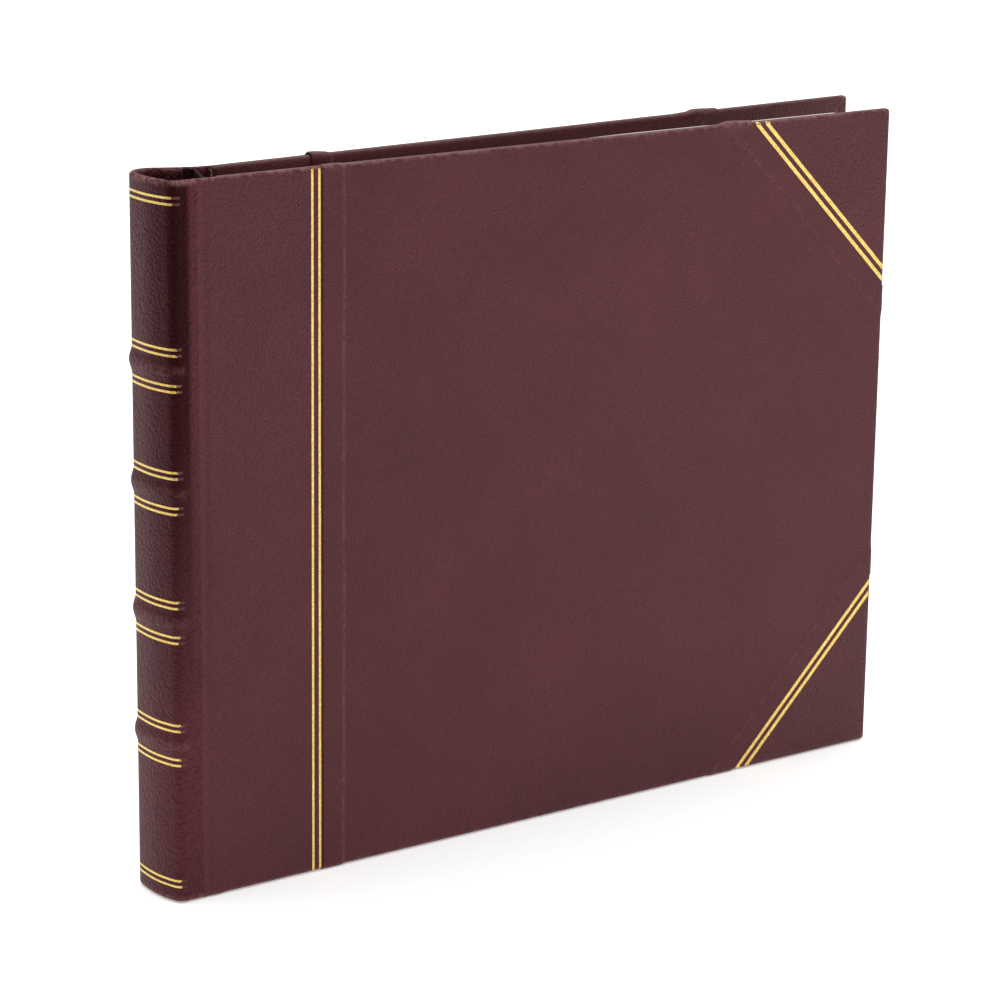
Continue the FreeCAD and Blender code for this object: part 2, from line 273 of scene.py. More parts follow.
def woven(name, light, dark, pitch):
    """Plain weave of threads pitch millimetres apart, along z and across it."""
    n = Nodes(name)
    split = n.tree.nodes.new("ShaderNodeSeparateXYZ")
    n.put(split, {0: n.coord})
    rate = math.pi * 1000 / pitch
    wobble = n.math("MULTIPLY", n.noise(300.0, 2.0), 0.9)
    across = n.math("SINE", n.math("ADD", n.math("MULTIPLY", split.outputs["X"], rate), wobble))
    along = n.math("SINE", n.math("ADD", n.math("MULTIPLY", split.outputs["Z"], rate), wobble))
    weave = n.math("MULTIPLY", across, along)
    threads = n.math("ADD", n.math("ABSOLUTE", across), n.math("ABSOLUTE", along))
    height = n.math("ADD", n.math("MULTIPLY", weave, 0.4), threads)
    colour = n.mix(n.span(height, 0.4, 1.8), dark, light)
    colour = n.mix(n.span(n.noise(140.0, 4.0), 0.3, 0.7, 0.0, 0.25), colour, dark)
    return n.finish(Base_Color=colour, Roughness=n.span(height, 0.4, 1.8, 0.9, 0.75),
                    Normal=n.bump(height, 0.00006), IOR=1.3, Specular_IOR_Level=0.2)


def album_leaf(name):
    """Off-white leaf with a pale printed quadrille inside a plain frame line."""
    n = Nodes(name)
    u, v = n.attribute("leaf_u"), n.attribute("leaf_v")
    fibres = n.noise(700.0, 5.0, 0.7)
    paper = n.mix(n.span(fibres, 0.35, 0.65), rgb(244, 240, 228), rgb(233, 227, 212))
    toned = n.mix(n.span(n.noise(14.0, 3.0), 0.35, 0.7, 0.0, 0.35), paper, rgb(226, 214, 190))

    def line(value, pitch, width):
        near = n.math("PINGPONG", value, pitch / 2)
        return n.span(near, width * 0.5, width, 1.0, 0.0)

    grid = n.math("MAXIMUM", line(u, 4.0, 0.16), line(v, 4.0, 0.16))
    # millimetres inside the printed frame
    inset_u = n.math("MINIMUM", n.math("SUBTRACT", u, 16.0), n.math("SUBTRACT", 236.0, u))
    inset_v = n.math("MINIMUM", n.math("SUBTRACT", v, 16.0), n.math("SUBTRACT", 227.0, v))
    inset = n.math("MINIMUM", inset_u, inset_v)
    inside = n.math("GREATER_THAN", inset, 0.0)
    rule = n.span(n.math("ABSOLUTE", inset), 0.2, 0.35, 1.0, 0.0)
    ink = n.math("MAXIMUM", n.math("MULTIPLY", n.math("MULTIPLY", grid, inside), 0.22),
                 n.math("MULTIPLY", rule, 0.7))
    colour = n.mix(ink, toned, rgb(120, 122, 128))
    return n.finish(Base_Color=colour, Roughness=n.span(fibres, 0.3, 0.7, 0.72, 0.86),
                    Normal=n.bump(fibres, 0.00003), IOR=1.45)


def brass(name):
    n = Nodes(name)
    turned = n.noise(900.0, 3.0, 0.6, n.scaled((1.0, 0.1, 1.0)))
    spots = n.span(n.noise(260.0, 4.0), 0.5, 0.75)
    colour = n.mix(n.math("MULTIPLY", spots, 0.6), rgb(205, 165, 88), rgb(140, 104, 52))
    return n.finish(Base_Color=colour, Metallic=1.0, Roughness=n.span(turned, 0.3, 0.7, 0.24, 0.42),
                    Normal=n.bump(turned, 0.00002), IOR=1.5)


MATERIALS = {
    "spine": leather("spine_leather_grain", 0.95, 0.26, 0.4, 0.3),
    "quarter": leather("quarter_leather_grain", 0.7, 0.17, 0.8, 0.48),
    "siding": leather("siding_grain", 0.55, 0.13, 1.0, 0.45),
    "gilt": gilt("gilt_on_leather", 0.85, 0.05),
    "board": fibrous("greyboard", rgb(150, 144, 134), rgb(112, 106, 98), 900.0, 0.04, 0.92),
    "tube": fibrous("lined_tube_card", rgb(62, 30, 34), rgb(40, 18, 22), 900.0, 0.04, 0.92),
    "endpaper": fibrous("endpaper", rgb(238, 232, 216), rgb(224, 215, 194), 600.0, 0.02, 0.84),
    # painted shade: the guard cards are dark maroon-brown to match the shaded gap between the covers
    # where they show
    "guard": fibrous("guard_card_painted_shade", rgb(104, 66, 62), rgb(70, 40, 40), 800.0, 0.02, 0.86),
    "cloth": woven("joint_cloth", rgb(96, 40, 46), rgb(52, 18, 24), 0.5),
    "linen": woven("leaf_linen_weave", rgb(238, 234, 222), rgb(196, 190, 174), 0.45),
    "leaf": album_leaf("album_leaf_paper"),
    "brass": brass("post_brass"),
}


# ---- mesh helpers ----

def make(name, points, faces, material, attributes, thickness):
    """An object from plan points in millimetres, a sheet closed inwards to its thickness."""
    mesh = bpy.data.meshes.new(name)
    mesh.from_pydata([tuple(p) for p in metres(points)], [], [tuple(int(i) for i in f) for f in faces])
    for key, values in attributes.items():
        layer = mesh.attributes.new(key, "FLOAT", "POINT")
        layer.data.foreach_set("value", np.asarray(values, np.float32))
    obj = bpy.data.objects.new(name, mesh)
    bpy.context.scene.collection.objects.link(obj)
    weld = obj.modifiers.new("weld", "WELD")
    weld.merge_threshold = 1e-6
    solid = obj.modifiers.new("thickness", "SOLIDIFY")
    solid.thickness = thickness / 1000
    solid.offset = -1
    bpy.context.view_layer.update()
    final = bpy.data.meshes.new_from_object(obj.evaluated_get(bpy.context.evaluated_depsgraph_get()))
    obj.modifiers.clear()
    obj.data = final
    final.materials.clear()
    final.materials.append(MATERIALS[material])
    final.polygons.foreach_set("use_smooth", [True] * len(final.polygons))
    final.set_sharp_from_angle(angle=math.radians(40))
    return obj


def quads(rows, columns, keep=None, flip=False):
    faces = []
    for j in range(rows - 1):
        for i in range(columns - 1):
            a = j * columns + i
            face = (a, a + 1, a + columns + 1, a + columns)
            if keep is not None:
                face = keep(j, i, face)
                if face is None:
                    continue
            faces.append(face[::-1] if flip else face)
    return faces


def steps(*stops):
    """Values through (end, step) stops, each stretch divided evenly."""
    values = [stops[0]]
    for end, step in stops[1:]:
        count = max(1, round(abs(end - values[-1]) / step))
        values += list(np.linspace(values[-1], end, count + 1)[1:])
    return np.array(values)


def wrap_path(d, thickness, radius=EDGE_R):
    """Round a cover's edge from d = 0, where the rounding starts on the outer face.
    Gives how far past the edge, how deep, and the outward normal's two parts."""
    d = np.asarray(d, float)
    thickness = np.broadcast_to(np.asarray(thickness, float), d.shape)
    arc = math.pi * radius / 2
    flat = thickness - 2 * radius
    a = np.clip(d / radius, 0, math.pi / 2)
    b = np.clip((d - arc - flat) / radius, 0, math.pi / 2)
    past = -radius + np.minimum(d, 0) + radius * np.sin(a)
    past = past - radius * (1 - np.cos(b)) - np.maximum(d - 2 * arc - flat, 0)
    deep = radius * (1 - np.cos(a)) + np.clip(d - arc, 0, flat) + radius * np.sin(b)
    angle = a + b
    return past, deep, np.sin(angle), -np.cos(angle)


def cover_point(x, z, thickness, radius=EDGE_R):
    """Point and normal on a cover's skin at flat x and z, which run on round the edges."""
    x, z = np.asarray(x, float), np.asarray(z, float)
    zero = np.zeros_like(x + z)
    head = z > COVER_H / 2
    dz = np.where(head, z - (COVER_H - radius), radius - z)
    past_z, deep_z, out_z, face_z = wrap_path(dz + zero, thickness, radius)
    past_x, deep_x, out_x, face_x = wrap_path(x - (COVER_W - radius) + zero, thickness, radius)
    on_fore = x - (COVER_W - radius) > 0
    px = np.where(on_fore, COVER_W + past_x, x + zero)
    py = np.where(on_fore, deep_x, deep_z)
    pz = np.where(on_fore, z + zero, np.where(head, COVER_H + past_z, -past_z))
    nx = np.where(on_fore, out_x, 0)
    ny = np.where(on_fore, face_x, face_z)
    nz = np.where(on_fore, 0, np.where(head, out_z, -out_z))
    return np.stack([px, py, pz], -1), np.stack([nx, ny, nz], -1)


def edge_wear(points):
    """How rubbed a cover's edges are, most on the rounded outer arris."""
    x, y, z = points[..., 0], points[..., 1], points[..., 2]
    near = np.minimum(np.minimum(z, COVER_H - z), COVER_W - x)
    rubbed = 0.6 * (1 - smoothstep(0.3, 1.6, near))
    return rubbed * (1 - 0.65 * smoothstep(0.6, 2.2, y))


def place(side, points):
    return rear(points) if side == "rear" else np.asarray(points, float)


def edge_values(thickness, radius=EDGE_R):
    """Distances round an edge, past where the rounding starts."""
    arc = math.pi * radius / 2
    flat = thickness - 2 * radius
    return np.concatenate([
        np.linspace(0, arc, 6)[1:], arc + np.linspace(0, flat, 3)[1:],
        arc + flat + np.linspace(0, arc, 6)[1:],
        2 * arc + flat + np.array([2.5, 6.0, 9.5, TURN_IN - radius])])


# ---- spine skin ----

def arc_rows(centre, radius, start, end, count):
    """Points and outward normals along an arc, without its end."""
    rows = []
    for angle in np.linspace(start, end, count)[:-1]:
        c, s = math.cos(angle), math.sin(angle)
        rows.append((centre[0] + radius * c, centre[1] + radius * s, c, s))
    return rows


def flat_rows(joint, end, normal, seam):
    """Points from the seam along a spine's flat side, without its end."""
    joint, end = np.array(joint), np.array(end)
    return [(*(joint + (end - joint) * t), *normal) for t in np.linspace(seam, 1, 7)[:-1]]


def spine_outline():
    """Points and normals of the spine's face, from the front seam round to the rear seam."""
    middle = SPINE_T / 2
    # front half: side flush with the cover, tight shoulder, gentle curve to the back's middle
    back_r = (middle - TIGHT_R * (1 - math.cos(TIGHT_TURN))) / math.cos(TIGHT_TURN)
    tight_x = -SPINE_DEPTH + back_r * (1 - math.sin(TIGHT_TURN)) + TIGHT_R * math.sin(TIGHT_TURN)
    rows = flat_rows((TAIL_X, 0.0), (tight_x, 0.0), (0.0, -1.0), FRONT_SEAM)
    rows += arc_rows((tight_x, TIGHT_R), TIGHT_R, -math.pi / 2, -math.pi / 2 - TIGHT_TURN, 18)
    rows += arc_rows((back_r - SPINE_DEPTH, middle), back_r, -math.pi / 2 - TIGHT_TURN, -math.pi, 16)
    # rear half: bulged back, round shoulder, then the long side to the rear joint
    reach = middle - SHOULDER_R
    centre_x = -(SPINE_DEPTH - SHOULDER_R - BACK_BULGE)
    depth = SHOULDER_R + BACK_BULGE
    bulge_r = (depth ** 2 - SHOULDER_R ** 2 + reach ** 2) / (2 * BACK_BULGE)
    bulge_x = bulge_r - SPINE_DEPTH
    away = math.atan2(reach, centre_x - bulge_x)
    joint = (TAIL_X + REAR_SHIFT, CASE_T)
    run_x, run_y = joint[0] - centre_x, joint[1] - middle - reach
    tangent = math.atan2(run_y, run_x) + math.acos(SHOULDER_R / math.hypot(run_x, run_y))
    rows += arc_rows((bulge_x, middle), bulge_r, math.pi, away, 10)
    rows += arc_rows((centre_x, middle + reach), SHOULDER_R, away, tangent, 22)
    normal = (math.cos(tangent), math.sin(tangent))
    shoulder_end = (centre_x + SHOULDER_R * normal[0], middle + reach + SHOULDER_R * normal[1])
    rows += flat_rows(joint, shoulder_end, normal, REAR_SEAM)[::-1]
    return np.array(rows)


OUTLINE = spine_outline()

# distance round the outline from the front seam, and from the nearer seam
FRONT_WAY = np.concatenate([[0], np.cumsum(np.hypot(*np.diff(OUTLINE[:, :2], axis=0).T))])
SEAM_WAY = np.minimum(FRONT_WAY, FRONT_WAY[-1] - FRONT_WAY)


def band_rise(z):
    """Height of the raised bands under the leather, for each height and outline point."""
    rise = np.zeros((len(z), 1))
    for centre in BANDS:
        near = np.clip(np.abs(z[:, None] - centre) / BAND_REACH, 0, 1)
        rise = np.maximum(rise, BAND_PROUD * (0.5 + 0.5 * np.cos(math.pi * near)) ** 0.75)
    return rise * smoothstep(2.5, 6.5, SEAM_WAY)


def spine_points(z, inset):
    """The spine's outline at each height z, drawn inset from its face."""
    x, y, nx, ny = OUTLINE.T
    out = band_rise(z) * (inset[:, None] < 0.05) - inset[:, None]
    return np.stack([x + nx * out, y + ny * out, z[:, None] + 0 * x], -1)


def build_spine():
    wall, turn = 2.4, 12.0                    # rolled rim at head and tail, and its turn-in
    rim = wall / 2
    angles = np.linspace(0, math.pi, 13)
    tail_z = np.concatenate([[turn, turn * 0.6, 3.0], rim - rim * np.sin(angles)])
    tail_in = np.concatenate([[wall] * 3, rim + rim * np.cos(angles)])
    body = np.arange(rim + 0.6, COVER_H - rim - 0.3, 0.6)
    z = np.concatenate([tail_z, body, COVER_H - tail_z[::-1]])
    inset = np.concatenate([tail_in, np.zeros(len(body)), tail_in[::-1]])
    points = spine_points(z, inset)
    rows, columns = points.shape[:2]
    ends = 1 - smoothstep(0.2, 2.6, np.minimum(z, COVER_H - z))
    wear = ends[:, None] * (1 - 0.4 * smoothstep(0.5, 2.0, inset))[:, None] * np.ones(columns)
    wear = np.maximum(wear, 0.25 * smoothstep(0.6, 1.0, band_rise(z)))
    # painted shade: leather darkened down the front shoulder, most towards the head, standing in for
    # the shade that falls there
    shoulder = smoothstep(2.0, 4.4, FRONT_WAY) * (1 - 0.5 * smoothstep(8.5, 13.0, FRONT_WAY))
    shoulder = shoulder * (1 - 0.8 * smoothstep(15.0, 25.0, FRONT_WAY))
    painted_shade = shoulder * smoothstep(20.0, 215.0, z)[:, None]
    skin = make("spine_skin", points.reshape(-1, 3), quads(rows, columns, flip=True), "spine",
                {"wear": wear.ravel(), "painted_shade": painted_shade.ravel()}, thickness=SPINE_SKIN_T)
    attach(skin, "binding")
    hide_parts("spine_leather", *(f"raised_band_{number}" for number in range(1, 5)))


def build_rings():
    """Pairs of gilt rings beside each band and near head and tail, one mesh."""
    middles = [RING_FROM_END, COVER_H - RING_FROM_END]
    for centre in BANDS:
        middles += [centre - RING_FROM_BAND, centre + RING_FROM_BAND]
    use = SEAM_WAY > 6.0
    points, faces, across, fade = [], [], [], []
    for middle in middles:
        for side in (-1, 1):
            z = middle + side * RING_PAIR / 2 + np.linspace(-GILT_W / 2, GILT_W / 2, 4)
            strip = spine_points(z, np.full(4, -GILT_PROUD))[:, use]
            base = len(points)
            columns = strip.shape[1]
            points += list(strip.reshape(-1, 3))
            faces += [tuple(i + base for i in f) for f in quads(4, columns, flip=True)]
            across += list(np.repeat(np.abs(np.linspace(-1, 1, 4)), columns))
            shorter = 1.6 if middle > COVER_H - 10 else 0.8
            fade += list(np.tile(1 - smoothstep(6.6 + shorter, 9.0 + shorter, SEAM_WAY[use]), 4))
    rings = make("spine_gilt_rings", np.array(points), faces, "gilt",
                 {"across": across, "fade": fade}, thickness=GILT_T)
    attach(rings, "binding")
    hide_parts("spine_gilding")


# ---- covers ----

def build_quarter(side):
    """Spine leather carried over the joint and onto the cover, turned in at head and tail."""
    seam = OUTLINE[0 if side == "front" else -1, :2]
    x_cover = steps(2.0, (6.0, 0.55), (9.0, 1.0), (QUARTER_W - 6, 6.0), (QUARTER_W + 2, 1.6))
    lead = 8                                  # columns over the joint, before the cover's own
    columns = lead + len(x_cover)
    thick = np.full(columns, JOINT_FOLD_T)
    thick[lead:] += (COVER_T - JOINT_FOLD_T) * smoothstep(4.0, 7.0, x_cover)
    mid = steps(EDGE_R, (EDGE_R + 2.4, 0.4), (COVER_H - EDGE_R - 2.4, 5.0), (COVER_H - EDGE_R, 0.4))
    rows = 2 * len(edge_values(COVER_T)) + len(mid)
    points = np.zeros((rows, columns, 3))
    for i in range(columns):
        radius = min(EDGE_R, thick[i] / 2 - 0.02)
        around = edge_values(thick[i], radius)
        flat = np.interp(mid, (EDGE_R, COVER_H - EDGE_R), (radius, COVER_H - radius))
        flat_z = np.concatenate([radius - around[::-1], flat, COVER_H - radius + around])
        points[:, i] = cover_point(0.0, flat_z, thick[i], radius)[0]
    points[:, lead:, 0] = x_cover
    cover = place(side, points)
    # the lead-in runs straight from the spine's seam to the cover's first column
    away = cover[rows // 2, lead, :2] - seam
    inward = np.array([-away[1], away[0]]) / np.linalg.norm(away) * (1 if side == "front" else -1)
    depth, z = points[:, lead, 1], points[:, lead, 2]
    for i in range(lead):
        t = i / lead
        dip = JOINT_DIP * math.sin(math.pi * t) ** 2
        cover[:, i, :2] = seam + away * t + inward * (depth + dip)[:, None]
        cover[:, i, 2] = z
    wear = edge_wear(points)
    wear[:, :lead] = 0.6 * (1 - smoothstep(0.3, 1.6, np.minimum(z, COVER_H - z)))[:, None]
    faces = quads(rows, columns, flip=side == "rear")
    piece = make(f"{side}_quarter_leather_skin", cover.reshape(-1, 3), faces,
                 "quarter", {"wear": wear.ravel()}, thickness=LEATHER_T)
    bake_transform(piece)
    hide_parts(f"{side}_quarter_leather")


def under_siding(points):
    """1 where leather lies under the siding, 0 where it lies on the board."""
    x, z = points[..., 0], points[..., 2]
    # a hand-cut edge is never quite straight
    wobble = 0.12 * np.sin(z * 0.11) + 0.08 * np.sin(z * 0.047 + 1.0)
    quarter = 1 - smoothstep(QUARTER_HIDDEN - 1.0, QUARTER_HIDDEN + 1.0, x + wobble)
    leg = (COVER_W - x) + np.minimum(z, COVER_H - z)
    leg = leg + 0.25 * np.sin((x - z) * 0.06)
    corner = 1 - smoothstep(CORNER_HIDDEN - 1.4, CORNER_HIDDEN + 1.4, leg)
    return np.maximum(quarter, corner)


def head_fold(points, side):
    """Bunched siding at a cover's head, where it runs over the quarter and corner leather."""
    x, z = points[..., 0], points[..., 2]
    start = COVER_W - CORNER_HIDDEN - 2.0
    fold = smoothstep(start - 1.5, start + 1.5, x) * (1 - 0.5 * smoothstep(start + 5, start + 12, x))
    if side == "rear":
        by_quarter = smoothstep(QUARTER_W - 0.5, QUARTER_W + 0.5, x)
        fold = fold + by_quarter * (1 - smoothstep(QUARTER_W + 1.5, QUARTER_W + 10, x))
    return FOLD_RISE * fold * smoothstep(COVER_H - 3.0, COVER_H - 0.5, z)


def build_siding(side):
    """The cover's main covering, cut straight by the quarter and at 45 degrees across the corners."""
    r = EDGE_R
    n = 52                                    # grid steps along each corner cut
    pitch = (CORNER_LEG - 2 * r) / n
    around = edge_values(COVER_T + SIDING_PROUD)
    x_in = steps(QUARTER_W, (QUARTER_HIDDEN + 2.5, 0.5), (COVER_W - CORNER_LEG - 12, 7.0),
                 (COVER_W - CORNER_LEG + r, pitch))
    x_corner = COVER_W - CORNER_LEG + r + pitch * np.arange(1, n + 1)
    x = np.concatenate([x_in, x_corner, COVER_W - r + around])
    z_low = r + pitch * np.arange(0, n + 1)
    z_mid = steps(z_low[-1], (CORNER_LEG + 12, pitch), (COVER_H - CORNER_LEG - 12, 8.0),
                  (COVER_H - CORNER_LEG + r, pitch))[1:-1]
    z_high = COVER_H - z_low[::-1]
    z = np.concatenate([r - around[::-1], z_low, z_mid, z_high, COVER_H - r + around])
    flat_x, flat_z = np.meshgrid(x, z)
    points, normals = cover_point(flat_x, flat_z, COVER_T)
    lift = SIDING_PROUD * under_siding(points)
    lift = lift + head_fold(points, side)
    wave = 0.03 * np.sin(points[..., 0] * 0.05 + 1.0) * np.sin(points[..., 2] * 0.043)
    points = points + normals * (lift + wave)[..., None]
    ix, iz = len(x_in) - 1, len(around)
    ex = ix + n
    top = len(z) - 1 - iz

    def keep(j, i, face):
        low, high = j < iz, j >= top
        if (low or high) and i >= ix:
            return None
        if i >= ex:
            return face if iz + n <= j < top - n else None
        if i < ix:
            return face
        a = i - ix
        for b, tail in ((j - iz, True), (top - 1 - j, False)):
            if 0 <= b < n:
                if b < a:
                    return None
                if b == a:
                    return (face[0], face[2], face[3]) if tail else (face[0], face[1], face[3])
        return face

    faces = quads(len(z), len(x), keep, flip=side == "rear")
    used = sorted({i for f in faces for i in f})
    index = {old: new for new, old in enumerate(used)}
    faces = [tuple(index[i] for i in f) for f in faces]
    flat = points.reshape(-1, 3)[used]
    wear = edge_wear(points).ravel()[used]
    ridge = under_siding(points).ravel()[used]
    ridge_wear = 2.4 if side == "rear" else 1.1
    wear = np.maximum(wear, ridge_wear * ridge * (1 - ridge))
    piece = make(f"{side}_siding_skin", place(side, flat), faces, "siding",
                 {"wear": wear}, thickness=SIDING_T)
    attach(piece, f"{side}_cover")
    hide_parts(f"{side}_siding")


def build_corner(side, head):
    """A leather corner: flat triangle, rounded edges, and turn-ins that meet in a mitre."""
    r, leg = EDGE_R, CORNER_LEG + 2.5         # runs a little way under the siding
    n = 34                                    # grid steps along each edge
    pitch = (leg - 2 * r) / n
    points, faces, wear = [], [], []
    # the triangle on the outer face, in (distance from fore-edge, distance from tail or head)
    grid = {}
    for b in range(n + 1):
        for a in range(n + 1 - b):
            grid[a, b] = len(points)
            points.append((r + pitch * a, 0.0, r + pitch * b))
    for b in range(n):
        for a in range(n - b):
            if a + b < n - 1:
                faces.append((grid[a, b], grid[a + 1, b], grid[a + 1, b + 1], grid[a, b + 1]))
            else:
                faces.append((grid[a, b], grid[a + 1, b], grid[a, b + 1]))
    # stations along both edges and round the corner: foot of the rounding, and outward direction
    stations = [((r + pitch * a, r), (0.0, -1.0), r + pitch * a) for a in range(n, -1, -1)]
    for angle in np.linspace(0, math.pi / 2, 7)[1:-1]:
        stations.append(((r, r), (-math.sin(angle), -math.cos(angle)), r))
    stations += [((r, r + pitch * b), (-1.0, 0.0), r + pitch * b) for b in range(n + 1)]
    arc = math.pi * r / 2
    flat = COVER_T - 2 * r
    d_edge = np.concatenate([np.linspace(0, arc, 6), arc + np.linspace(0, flat, 3)[1:],
                             arc + flat + np.linspace(0, arc, 6)[1:]])
    inner_shares = (0.2, 0.5, 0.8, 1.0)
    base = len(points)
    for foot, out, q in stations:
        past, deep, _, _ = wrap_path(d_edge, COVER_T)
        for p, y in zip(past, deep):
            points.append((foot[0] + out[0] * (p + r), y, foot[1] + out[1] * (p + r)))
        end = min(TURN_IN, q) - r
        for share in inner_shares:
            groove = 0.18 if share == 1.0 and q < TURN_IN else 0.0
            inner_x, inner_z = (foot[k] - out[k] * end * share for k in (0, 1))
            points.append((inner_x, COVER_T - groove, inner_z))
    width = len(d_edge) + len(inner_shares)
    for s in range(len(stations) - 1):
        for k in range(width - 1):
            a = base + s * width + k
            faces.append((a, a + 1, a + width + 1, a + width))
    pts = np.array(points)
    pts[:, 0] = COVER_W - pts[:, 0]
    if head:
        pts[:, 2] = COVER_H - pts[:, 2]
    wear = edge_wear(pts)
    tip = np.hypot(COVER_W - pts[:, 0], np.minimum(pts[:, 2], COVER_H - pts[:, 2]))
    mitre = np.abs((COVER_W - pts[:, 0]) - np.minimum(pts[:, 2], COVER_H - pts[:, 2]))
    wear = np.maximum(wear, 0.7 * (1 - smoothstep(1.0, 4.0, tip)))
    wear = np.maximum(wear, (mitre < 0.5) * (pts[:, 1] > COVER_T - 0.5))
    # the triangle and the edges were laid out with opposite windings
    flip = (side == "rear") != head
    split = n * (n + 1) // 2
    turned = [f if flip else f[::-1] for f in faces[:split]]
    turned += [f[::-1] if flip else f for f in faces[split:]]
    end_name = "head" if head else "tail"
    piece = make(f"{side}_corner_{end_name}_skin", place(side, pts), turned, "quarter",
                 {"wear": wear}, thickness=LEATHER_T)
    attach(piece, f"{side}_cover")
    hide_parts(f"{side}_corner_{end_name}")


def build_cover_gilding(side):
    """Two lines down the quarter and two across each corner, pressed over the edges."""
    points, faces, across, fade = [], [], [], []

    def strip(left, right):
        """Left and right are flat (x, z) lines of the same length."""
        base = len(points)
        lanes = 4
        for a, b in zip(left, right):
            for k in range(lanes):
                t = k / (lanes - 1)
                p, nrm = cover_point(a[0] + (b[0] - a[0]) * t, a[1] + (b[1] - a[1]) * t, COVER_T)
                points.append(p + nrm * GILT_PROUD)
                across.append(abs(2 * t - 1))
                end = min(p[2], COVER_H - p[2], COVER_W - p[0])
                fade.append(float(1 - smoothstep(0.3, 2.0, end)) * 0.6)
        for j in range(len(left) - 1):
            for k in range(lanes - 1):
                a = base + j * lanes + k
                faces.append((a, a + 1, a + lanes + 1, a + lanes))

    zs = steps(EDGE_R - 0.9, (EDGE_R, 0.3), (COVER_H - EDGE_R, 2.0), (COVER_H - EDGE_R + 0.9, 0.3))
    for x in QUARTER_LINES:
        strip([(x - QUARTER_LINE_HALF, z) for z in zs], [(x + QUARTER_LINE_HALF, z) for z in zs])
    for head in (False, True):
        for leg in CORNER_LINES:
            sides = []
            for edge in (leg + CORNER_LINE_HALF, leg - CORNER_LINE_HALF):
                t = np.linspace(0, 1, 44)
                x = COVER_W - edge + EDGE_R + (edge - 2 * EDGE_R) * t
                z = EDGE_R + (edge - 2 * EDGE_R) * t
                x = np.concatenate([[x[0]] * 3, x, x[-1] + np.array([0.5, 1.0, 1.5])])
                z = np.concatenate([z[0] - np.array([1.5, 1.0, 0.5]), z, [z[-1]] * 3])
                if head:
                    z = COVER_H - z
                sides.append(list(zip(x, z)))
            strip(*(sides if not head else sides[::-1]))
    if side == "rear":
        faces = [f[::-1] for f in faces]
    piece = make(f"{side}_gilt_lines", place(side, np.array(points)), faces, "gilt",
                 {"across": across, "fade": fade}, thickness=GILT_T)
    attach(piece, f"{side}_cover")
    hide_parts(f"{side}_gilding")


# ---- leaves ----

BLOCK_FRONT, PITCH, LEAF_T, LEAF_GAP = 5.1, 1.5, 0.42, 0.08
LAST_RISE = 0.9                              # the last section stands higher, towards the fore-edge
LEAF_END, LEAF_SQUARE = 290.0, 3.6
GUARD_END = float(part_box("guard_strips")[1][0]) * 1000 - ORIGIN[0]
HINGE_X = GUARD_END + 3.7
LEAF_X = HINGE_X + 7.0


def build_leaves(number):
    """One section: three leaves, and the linen strip that hinges them on the guards."""
    index = number - 1
    x = steps(LEAF_X, (LEAF_END - 5, 9.0), (LEAF_END, 1.0))
    head = COVER_H - LEAF_SQUARE
    z = steps(LEAF_SQUARE, (LEAF_SQUARE + 5, 1.0), (head - 5, 9.0), (head, 1.0))
    points, faces, us, vs = [], [], [], []
    for leaf in range(3):
        y0 = BLOCK_FRONT + LEAF_GAP / 2 + index * PITCH + leaf * (LEAF_T + LEAF_GAP)
        gx, gz = np.meshgrid(x, z)
        # round the two fore-edge corners
        ex, ez = LEAF_END - 4 - gx, np.minimum(gz - LEAF_SQUARE, head - gz) - 4
        corner = (ex < 0) & (ez < 0)
        far = np.hypot(ex, ez)
        shrink = np.maximum(np.abs(ex), np.abs(ez)) / np.maximum(far, 1e-6)
        pull = np.where(corner & (far > 0), shrink, 1)
        gx = np.where(corner, LEAF_END - 4 + (gx - (LEAF_END - 4)) * pull, gx)
        edge_z = np.where(gz > COVER_H / 2, head - 4, LEAF_SQUARE + 4)
        gz = np.where(corner, edge_z + (gz - edge_z) * pull, gz)
        if number == 8:
            gz = gz + LAST_RISE * smoothstep(120, 190, gx) * smoothstep(COVER_H - 60, head, gz)
        seed = number * 3 + leaf
        wave = 0.018 * np.sin(gx * 0.035 + seed) + 0.018 * np.sin(gz * 0.04 + 2 * seed)
        base = len(points)
        points += list(np.stack([gx, y0 + wave, gz], -1).reshape(-1, 3))
        faces += [tuple(i + base for i in f) for f in quads(len(z), len(x))]
        us += list((gx - LEAF_X).ravel())
        vs += list((gz - LEAF_SQUARE).ravel())
    piece = make(f"album_leaves_{number}", np.array(points), faces, "leaf",
                 {"leaf_u": us, "leaf_v": vs}, thickness=LEAF_T - 0.04)
    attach(piece, f"leaves_{number}")
    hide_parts(f"leaf_section_{number}")
    middle = BLOCK_FRONT + LEAF_GAP / 2 + index * PITCH + (PITCH - LEAF_GAP) / 2
    xs = steps(GUARD_END - 0.2, (HINGE_X - 1.6, 0.8), (HINGE_X + 1.6, 0.3), (LEAF_X + 0.2, 0.8))
    zs = steps(LEAF_SQUARE + 0.4, (COVER_H - LEAF_SQUARE - 0.4, 6.0))
    gx, gz = np.meshgrid(xs, zs)
    y = middle - 0.15 + 0.02 * np.sin(gz * 0.05 + number)
    linen = make(f"hinge_linen_{number}", np.stack([gx, y, gz], -1).reshape(-1, 3),
                 quads(len(zs), len(xs)), "linen", {}, thickness=0.3)
    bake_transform(linen)
    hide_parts(f"leaf_linen_{number}")


build_spine()
build_rings()
for cover_side in ("front", "rear"):
    build_quarter(cover_side)
    build_siding(cover_side)
    for at_head in (False, True):
        build_corner(cover_side, at_head)
    build_cover_gilding(cover_side)
for leaf_number in range(1, 9):
    build_leaves(leaf_number)

